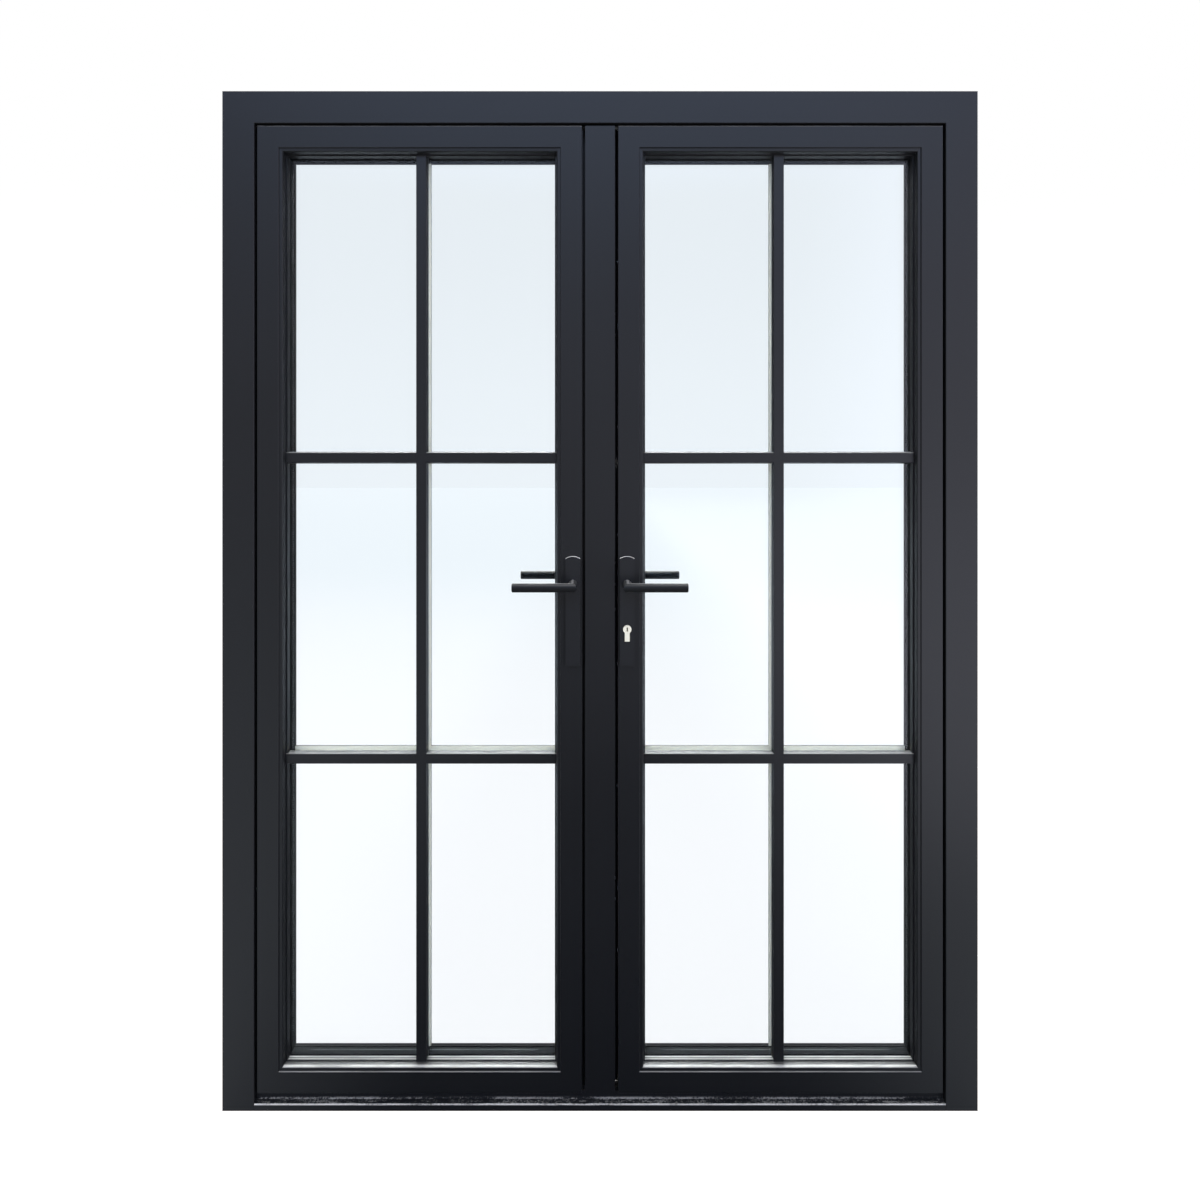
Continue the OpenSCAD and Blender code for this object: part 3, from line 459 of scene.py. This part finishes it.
def plated(name, colour, along, rough, metallic=1.0):
    """Plated metal, brushed along one direction."""
    metal = Finish(name)
    drawn = metal.noise(metal.stretched(along), 1.0, 4, 0.6)
    cloud = metal.noise(metal.place(), 30, 3)
    return metal.surface(
        Base_Color=metal.mix(cloud, tone(colour, 0.86), tone(colour, 1.05)),
        Metallic=metallic,
        Roughness=rough - 0.05 + drawn * 0.12 + cloud * 0.06,
        Normal=metal.bump(drawn, 0.12, FINE_RELIEF),
    )


def dress(nodes, material):
    """Gives CAD nodes a material."""
    for name in nodes:
        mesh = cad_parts[name].data
        mesh.materials.clear()
        mesh.materials.append(material)


def both(*names):
    """The same node names on the left and the right leaf."""
    return [f"{side}_{name}" for side in SIDES for name in names]


# ---- modelling -------------------------------------------------------------------------------


def finished_piece(name, shape, material, body):
    """Makes a piece of a bmesh, with its normals outwards, and rides it on a body."""
    bmesh.ops.remove_doubles(shape, verts=shape.verts, dist=1e-7)
    bmesh.ops.recalc_face_normals(shape, faces=shape.faces)
    mesh = bpy.data.meshes.new(name)
    shape.to_mesh(mesh)
    shape.free()
    mesh.materials.append(material)
    piece = bpy.data.objects.new(name, mesh)
    bpy.context.scene.collection.objects.link(piece)
    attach(piece, body)
    return piece


def facing(at, direction):
    """A place whose Z axis points along a direction."""
    return Matrix.Translation(at) @ Vector(direction).to_track_quat("Z", "X").to_matrix().to_4x4()


def ring_verts(shape, radius, height, sides):
    """The vertices of a new level ring at a height."""
    made = bmesh.ops.create_circle(
        shape, radius=radius, segments=sides, matrix=Matrix.Translation((0, 0, height)))
    return made["verts"]


def ring_edges(verts):
    """The edges between the vertices of one ring, in their order."""
    wanted = set(verts)
    return list(dict.fromkeys(
        edge for vert in verts for edge in vert.link_edges if edge.other_vert(vert) in wanted))


def join_rings(shape, low, high):
    """Bridges two rings of the same turned solid."""
    bmesh.ops.bridge_loops(shape, edges=ring_edges(low) + ring_edges(high))


def turned(shape, place, profile, sides, socket):
    """A turned solid from (height, radius) pairs, with a hexagonal socket in its top.

    socket is the hexagon's radius and its depth.
    """
    rings = [ring_verts(shape, radius, height, sides) for height, radius in profile]
    top = profile[-1][0]
    radius, depth = socket
    rings += [ring_verts(shape, radius, height, 6) for height in (top, top - depth)]
    for low, high in zip(rings, rings[1:]):
        join_rings(shape, low, high)
    for end in (rings[0], rings[-1]):
        bmesh.ops.edgeloop_fill(shape, edges=ring_edges(end))
    bmesh.ops.transform(shape, matrix=place, verts=[vert for ring in rings for vert in ring])


def screw_heads(name, places, material, body, settings):
    """Low socket-headed screws: places are (point, direction) pairs."""
    shape = bmesh.new()
    radius, height = settings.head_radius, settings.head_height
    profile = [(-height, radius), (height * 0.55, radius), (height * 0.9, radius * 0.9),
               (height, radius * 0.8)]
    for at, direction in places:
        turned(shape, facing(at, direction), profile, 20, (radius * 0.48, height * 0.8))
    return finished_piece(name, shape, material, body)


# ---- sections --------------------------------------------------------------------------------


class FRENCHDOORS_OT_coat_sections(bpy.types.Operator):
    """Coats the frame, the leaves and the mullion"""

    bl_idname = "frenchdoors.coat_sections"
    bl_label = "Coat the sections"

    def execute(self, context):
        settings = context.scene.door_finish
        leaf_tone = tone(settings.coat, 0.92)[:3]
        frame_coat = satin_coat("frame_satin_coat", settings.coat, settings, dust_and_highlight=0.02)
        # Leaves: dust on level faces, with painted highlights on the mouldings' crests and ledges.
        leaf_coat = satin_coat(
            "leaf_satin_coat", leaf_tone, settings, dust_and_highlight=0.16, pale=1.3, highlight_lines=LEDGE_HIGHLIGHTS)
        # Bars: dust on their top faces, and a painted highlight along the front bars' tops.
        bar_coat = satin_coat(
            "bar_satin_coat", leaf_tone, settings, dust_and_highlight=0.135, patchy=0.1, highlight_lines=BAR_TOP_HIGHLIGHT,
            tape=True)
        # Beads: the coat at half its colour, and with little gloss, as painted shade.
        shaded_bead_coat = satin_coat(
            "bead_shaded_coat", tone(settings.coat, 0.5)[:3], settings, shine=0.08)
        dress(["left_jamb", "right_jamb", "head"], frame_coat)
        dress(both("hinge_stile", "meeting_stile", "top_rail", "bottom_rail"), leaf_coat)
        dress(["mullion"], leaf_coat)
        dress(both("glazing_bars"), bar_coat)
        dress(both("glazing_beads"), shaded_bead_coat)
        dress(["threshold"], threshold_coat(settings))
        dress(["hinge_frame_halves"] + both("hinge_halves"),
              satin_coat("hinge_satin_coat", settings.coat, settings))
        mill = plated("mill_aluminium", (0.66, 0.67, 0.69), (40, 900, 40), 0.38)
        dress(["frame_cleats"] + both("corner_cleats"), mill)
        dress(["mullion_caps"], rubber("cap_plastic", 0.016, 400))
        dress(["frame_seal"], rubber("frame_seal_rubber", 0.035, 260))
        return {"FINISHED"}


# ---- glazing ---------------------------------------------------------------------------------


def perforated_side(shape, start, end, inward, settings):
    """A row of low round grains on one side of a spacer, between its corners."""
    along = end - start
    run = along.length - 2 * settings.corner_clear
    count = int(run / settings.hole_pitch) + 1
    step = along.normalized() * settings.hole_pitch
    first = (start + end) / 2 - step * (count - 1) / 2 + Vector(inward) * GRAIN_HEIGHT / 2
    for i in range(count):
        bmesh.ops.create_cone(
            shape, cap_ends=True, segments=8, radius1=settings.hole_radius,
            radius2=settings.hole_radius, depth=GRAIN_HEIGHT,
            matrix=facing(first + step * i, inward))


def perforated_spacer(side, settings, material):
    """The perforations along the four inner sides of a leaf's spacer."""
    low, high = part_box(f"{side}_spacer")
    left, right = low.x + SPACER_WIDTH, high.x - SPACER_WIDTH
    bottom, top = low.z + SPACER_WIDTH, high.z - SPACER_WIDTH
    corners = [Vector((x, low.y + HOLE_ROW, z)) for x, z in (
        (left, bottom), (right, bottom), (right, top), (left, top))]
    shape = bmesh.new()
    for i, inward in enumerate(((0, 0, 1), (-1, 0, 0), (0, 0, -1), (1, 0, 0))):
        perforated_side(shape, corners[i], corners[(i + 1) % 4], inward, settings)
    return finished_piece(
        f"{side}_spacer_perforations", shape, material, f"{side}_leaf")


def glass_sheet(side, place, material):
    """One pane with ground edges, a hair clear of the bars and seals that lie against it."""
    low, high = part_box(f"{side}_{place}_pane")
    size = high - low - Vector((1, 1, 1)) * HAIR * 2
    shape = bmesh.new()
    bmesh.ops.create_cube(
        shape, size=1, matrix=Matrix.Translation((low + high) / 2) @ Matrix.Diagonal((*size, 1)))
    bmesh.ops.bevel(
        shape, geom=shape.edges[:], offset=GROUND_EDGE, segments=2, profile=0.5,
        affect="EDGES", material=-1)
    sheet = finished_piece(f"{side}_{place}_sheet", shape, material, f"{side}_leaf")
    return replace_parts(sheet, f"{side}_{place}_pane")


class FRENCHDOORS_OT_glaze(bpy.types.Operator):
    """Finishes the panes, gaskets and spacers, and perforates the spacers"""

    bl_idname = "frenchdoors.glaze"
    bl_label = "Glaze the leaves"

    def execute(self, context):
        settings = context.scene.door_glazing
        glass = window_glass(settings)
        for side in SIDES:
            for place in ("outer", "inner"):
                glass_sheet(side, place, glass)
        dress(both("gaskets"), rubber("glazing_gasket", 0.006, 300))
        dress(both("spacer"), spacer_foil())
        grain = perforation()
        for side in SIDES:
            perforated_spacer(side, settings, grain)
        return {"FINISHED"}


# ---- handles ---------------------------------------------------------------------------------


def plate_screws(side, material):
    """The long screws that hold a pair of handle plates, their sockets in the rear plate."""
    low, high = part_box(f"{side}_plate_screws")
    middle = (low.x + high.x) / 2
    head = (high.x - low.x) / 2
    length = high.y - low.y
    profile = [(0, SHANK_RADIUS), (length - head + SHANK_RADIUS, SHANK_RADIUS),
               (length - HEAD_CHAMFER[0], head), (length, head - HEAD_CHAMFER[1])]
    shape = bmesh.new()
    for z in (high.z - head, low.z + head):
        turned(shape, facing((middle, low.y, z), (0, 1, 0)), profile, 24, KEY_SOCKET)
    piece = finished_piece(
        f"{side}_socket_screws", shape, material, f"{side}_leaf")
    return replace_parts(piece, f"{side}_plate_screws")


class FRENCHDOORS_OT_fit_handles(bpy.types.Operator):
    """Finishes levers, plates and cylinder, and makes the plates' screws"""

    bl_idname = "frenchdoors.fit_handles"
    bl_label = "Fit the handles"

    def execute(self, context):
        settings = context.scene.door_finish
        # Levers: the light line along their tops is a painted highlight.
        dress(both("front_lever", "rear_lever"), satin_coat(
            "lever_satin_coat", settings.handle_coat, settings, dust_and_highlight=0.03, rim_highlight=0.3,
            grain=1500, shine=0.3))
        # Plates: their light top edges are a painted highlight.
        dress(both("handle_plates"), satin_coat(
            "plate_satin_coat", tone(settings.coat, 1.1)[:3], settings, dust_and_highlight=1.3, pale=1.75,
            grain=1500))
        nickel = plated("satin_nickel", settings.nickel, (700, 40, 40), 0.34, 0.5)
        dress(["cylinder_body", "cylinder_front_plug", "cylinder_rear_plug"], nickel)
        steel = plated("socket_screw_steel", tone(settings.zinc, 0.6)[:3], (300, 300, 300), 0.32)
        for side in SIDES:
            plate_screws(side, steel)
        return {"FINISHED"}


# ---- lock, bolts and hinges ------------------------------------------------------------------


def hinge_screw_places(side, way):
    """Screw places on the plates of a leaf's hinges; way is 1 towards the leaf, -1 outwards."""
    outer = -1 if side == "left" else 1
    pins_low, pins_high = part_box("hinge_pins")
    axis_x = (pins_low if side == "left" else pins_high).x - outer * BARREL_RADIUS
    low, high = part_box(f"{side}_hinge_halves")
    rows = (low.z + HINGE_HALF_HEIGHT, (low.z + high.z) / 2, high.z - HINGE_HALF_HEIGHT)
    face = REAR_FACE + HINGE_PLATE
    return [((axis_x - outer * way * across, face, row + up), (0, 1, 0))
            for row in rows for across, up in HINGE_SCREWS]


def faceplate_places():
    """Screws down the middle of the lock's faceplate."""
    low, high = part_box("lock_faceplate")
    middle = (low.y + high.y) / 2
    tall = high.z - low.z
    return [((low.x, middle, low.z + share * tall), (-1, 0, 0)) for share in FACEPLATE_SCREWS]


def keep_places():
    """Screws of the mullion's keeps, beside each pin bolt's hole and round the centre one."""
    low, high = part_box("mullion_keeps")
    latch_low, latch_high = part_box("latch_bolt")
    dead_low, dead_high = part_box("dead_bolt")
    middle = (low.y + high.y) / 2
    heights = (
        low.z + KEEP_SCREW, low.z + KEEP_LENGTH - KEEP_SCREW,
        high.z - KEEP_LENGTH + KEEP_SCREW, high.z - KEEP_SCREW,
        latch_high.z + KEEP_SCREW, (dead_high.z + latch_low.z) / 2, dead_low.z - KEEP_SCREW)
    return [((high.x, middle, z), (1, 0, 0)) for z in heights]


class FRENCHDOORS_OT_fit_hardware(bpy.types.Operator):
    """Finishes the lock and bolts, and makes the screws of hinges, keeps and faceplate"""

    bl_idname = "frenchdoors.fit_hardware"
    bl_label = "Fit the hardware"

    def execute(self, context):
        colours = context.scene.door_finish
        settings = context.scene.door_hardware
        zinc = plated("zinc_plated_steel", colours.zinc, (60, 60, 700), 0.36)
        dress(["lock_case", "lock_faceplate", "mullion_keeps", "head_keep", "threshold_keep",
               "bolt_gearbox", "left_spindle", "right_spindle"], zinc)
        bright = plated("bright_bolt_steel", tone(colours.zinc, 1.2)[:3], (500, 60, 60), 0.26)
        dress(["latch_bolt", "dead_bolt", "pin_bolts", "top_bolt", "bottom_bolt"], bright)
        dress(["hinge_pins"], plated(
            "hinge_pin_steel", tone(colours.zinc, 0.5)[:3], (400, 400, 60), 0.34))
        screws = plated("screw_steel", tone(colours.zinc, 0.8)[:3], (400, 400, 400), 0.3)
        frame_places = [place for side in SIDES for place in hinge_screw_places(side, -1)]
        screw_heads("hinge_frame_screws", frame_places, screws, "frame", settings)
        for side in SIDES:
            screw_heads(f"{side}_hinge_screws", hinge_screw_places(side, 1), screws,
                        f"{side}_leaf", settings)
        screw_heads("faceplate_screws", faceplate_places(), screws, "right_leaf", settings)
        screw_heads("keep_screws", keep_places(), screws, "left_leaf", settings)
        return {"FINISHED"}


def brush_strip(material, settings):
    """A brush on its backing strip; the tufts run on past the mullion's ends to close the gap."""
    low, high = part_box("mullion_seal")
    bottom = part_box("threshold_keep")[1].z + MM
    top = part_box("head_keep")[0].z - MM
    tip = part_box("lock_faceplate")[0].x - HAIR
    dice = random.Random(settings.seed)
    shape = bmesh.new()

    def bar(corner, far):
        place = Matrix.Translation((corner + far) / 2) @ Matrix.Diagonal((*(far - corner), 1))
        return bmesh.ops.create_cube(shape, size=1, matrix=place)["verts"]

    bar(low, Vector((low.x + BRUSH_BACKING, high.y, high.z)))
    root = low.x + BRUSH_BACKING - TUFT_SEAT
    count = int((top - bottom) / settings.tuft_pitch)
    pitch = (top - bottom) / count
    for i in range(count):
        z = bottom + i * pitch
        tuft = bar(Vector((root, low.y + TUFT_INSET, z)),
                   Vector((tip, high.y - TUFT_INSET, z + pitch * TUFT_FILL)))
        lean = Vector((0, dice.uniform(-TUFT_LEAN, TUFT_LEAN), 0))
        bmesh.ops.translate(shape, vec=lean, verts=[vert for vert in tuft if vert.co.x > root + MM])
    piece = finished_piece("mullion_brush", shape, material, "left_leaf")
    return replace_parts(piece, "mullion_seal")


class FRENCHDOORS_OT_seal_mullion(bpy.types.Operator):
    """Makes the brush strip that closes the gap beside the mullion"""

    bl_idname = "frenchdoors.seal_mullion"
    bl_label = "Seal the mullion"

    def execute(self, context):
        brush_strip(rubber("brush_pile", 0.010, 900), context.scene.door_hardware)
        return {"FINISHED"}


# ---- stage -----------------------------------------------------------------------------------


def low_sky(wiring, aside):
    """What the doors mirror near the horizon, from how far it lies to the side."""
    return wiring.mix(wiring.step(aside, 0.2, 0.38), (0.78, 0.76, 0.80, 1), (2.2, 2.2, 2.6, 1))


def mirrored_floor(paint, where):
    """The light of the floor in the doors: dark before them, brighter to both sides."""
    across, along = paint.split(where, "X"), paint.split(where, "Y")
    near = paint.step(along, -9.0, -2.0) * 0.6 + 0.4
    aside = (paint.step(across, 0.35, 1.0) * 0.9
             + paint.step(across, -0.35, -1.0) * near * 0.95)
    beyond = paint.step(across, 0.8, 1.6) * paint.step(across * 0.7 + along, 0.1, -0.5)
    close = paint.mix(aside, (0, 0, 0, 1), (1, 1.08, 1.16, 1))
    bearing = paint.split(
        paint.node("ShaderNodeVectorMath", {"operation": "NORMALIZE"}, {0: where}), "X")
    return paint.mix(
        paint.step(along, -5.0, -36.0),
        paint.mix(beyond, close, (3.0, 3.05, 3.5, 1)),
        low_sky(paint, bearing))


def pale_floor(settings):
    """A plain pale floor; what the doors mirror of it is dimmer than what the eye sees."""
    shape = bmesh.new()
    bmesh.ops.create_grid(shape, x_segments=2, y_segments=2, size=FLOOR_REACH)
    mesh = bpy.data.meshes.new("studio_floor")
    shape.to_mesh(mesh)
    shape.free()
    paint = Finish("floor_paint")
    where = paint.place()
    uneven = paint.noise(where, 1.3, 3)
    lit = paint.mix(
        paint.step(paint.split(where, "Y"), 0.8, 9.0),
        (0.95, 0.905, 0.885, 1), (0.845, 0.850, 0.850, 1))
    seen = paint.node("ShaderNodeBsdfPrincipled", None, {
        "Base Color": paint.mix(uneven, tone(settings.floor, 0.02), tone(settings.floor, 0.03)),
        "Roughness": 0.9, "Specular IOR Level": 0.0,
        "Emission Color": lit, "Emission Strength": 1.2,
    })
    mirrored = paint.node("ShaderNodeBsdfPrincipled", None, {
        "Base Color": tone(settings.floor, 0.05), "Roughness": 0.9, "Specular IOR Level": 0.0,
        "Emission Color": mirrored_floor(paint, where), "Emission Strength": 1.0,
    })
    mesh.materials.append(paint.show(paint.node(
        "ShaderNodeMixShader", None, {0: paint.seen_directly(), 1: mirrored, 2: seen})))
    floor = bpy.data.objects.new("studio_floor", mesh)
    bpy.context.scene.collection.objects.link(floor)


def studio_world():
    """White to the eye; the doors mirror a blue-white sky before them and a bright one behind."""
    world = bpy.data.worlds.new("studio")
    sky = Wiring(world)
    direction = sky.node("ShaderNodeTexCoord", output="Generated")
    aside, height = sky.split(direction, "X"), sky.split(direction, "Z")

    # Before the doors: a low band, a blue one that is brightest in its middle, a pale top.
    middle = sky.step(sky.band(aside, 0.0, 0.62), 0.1, 0.45)
    flank = sky.mix(sky.step(aside, -0.1, 0.2), (0.20, 0.30, 0.60, 1), (0.45, 0.60, 1.10, 1))
    blue = sky.mix(middle, flank, (2.8, 3.75, 5.7, 1))
    before = sky.mix(sky.step(height, 0.30, 0.44), low_sky(sky, aside), blue)
    before = sky.mix(sky.step(height, 0.52, 0.72), before, (1.9, 2.0, 2.2, 1))

    # Behind them: dim, lighter in the middle, with a bright light high up there.
    centre = sky.band(aside, 0.0, 0.42)
    distance = sky.mix(centre, (0.12, 0.12, 0.13, 1), (1.3, 1.33, 1.38, 1))
    behind = sky.mix(centre * sky.step(height, 0.42, 0.62), distance, (30, 29.3, 28, 1))

    mirrored = sky.mix(sky.step(sky.split(direction, "Y"), -0.1, 0.45), before, behind)
    seen = sky.mix(sky.step(height, 0.0, 0.3), (1.05, 1.05, 1.05, 1), (1, 1, 1, 1))
    shown = sky.mix(sky.seen_directly(), mirrored, seen)
    light = sky.node("ShaderNodeBackground", None, {"Color": shown}, "Background")
    sky.node("ShaderNodeOutputWorld", None, {"Surface": light}, None)
    bpy.context.scene.world = world


def studio_camera(settings):
    """An upright camera straight before the doors."""
    data = bpy.data.cameras.new("camera")
    data.lens = settings.lens
    data.sensor_width = 36
    data.shift_y = settings.shift
    camera = bpy.data.objects.new("camera", data)
    camera.location = (0, FRONT_FACE - settings.camera_distance, settings.camera_height)
    camera.rotation_euler = (math.pi / 2, 0, 0)
    bpy.context.scene.collection.objects.link(camera)
    bpy.context.scene.camera = camera


class FRENCHDOORS_OT_build_stage(bpy.types.Operator):
    """Builds the floor, the surroundings and the camera"""

    bl_idname = "frenchdoors.build_stage"
    bl_label = "Build the stage"

    def execute(self, context):
        settings = context.scene.door_stage
        context.scene.view_settings.view_transform = "Standard"
        pale_floor(settings)
        studio_world()
        studio_camera(settings)
        return {"FINISHED"}


# ---- panel and registration ------------------------------------------------------------------


class FRENCHDOORS_PT_sidebar(bpy.types.Panel):
    """Lists the steps that dress the doors."""

    bl_idname = "FRENCHDOORS_PT_sidebar"
    bl_label = "French doors"
    bl_space_type = "VIEW_3D"
    bl_region_type = "UI"
    bl_category = "French doors"

    def draw(self, context):
        for step in STEPS:
            self.layout.operator(step.bl_idname)


STEPS = (
    FRENCHDOORS_OT_coat_sections,
    FRENCHDOORS_OT_glaze,
    FRENCHDOORS_OT_fit_handles,
    FRENCHDOORS_OT_fit_hardware,
    FRENCHDOORS_OT_seal_mullion,
    FRENCHDOORS_OT_build_stage,
)
SETTINGS = {
    "door_finish": FinishSettings,
    "door_glazing": GlazingSettings,
    "door_hardware": HardwareSettings,
    "door_stage": StageSettings,
}


def register():
    for kind in (*SETTINGS.values(), *STEPS, FRENCHDOORS_PT_sidebar):
        bpy.utils.register_class(kind)
    for name, kind in SETTINGS.items():
        setattr(bpy.types.Scene, name, PointerProperty(type=kind))


def unregister():
    for name in SETTINGS:
        delattr(bpy.types.Scene, name)
    for kind in (FRENCHDOORS_PT_sidebar, *reversed(STEPS), *reversed(SETTINGS.values())):
        bpy.utils.unregister_class(kind)


def main():
    register()
    bpy.ops.frenchdoors.coat_sections()
    bpy.ops.frenchdoors.glaze()
    bpy.ops.frenchdoors.fit_handles()
    bpy.ops.frenchdoors.fit_hardware()
    bpy.ops.frenchdoors.seal_mullion()
    bpy.ops.frenchdoors.build_stage()


if __name__ == "__main__":
    main()
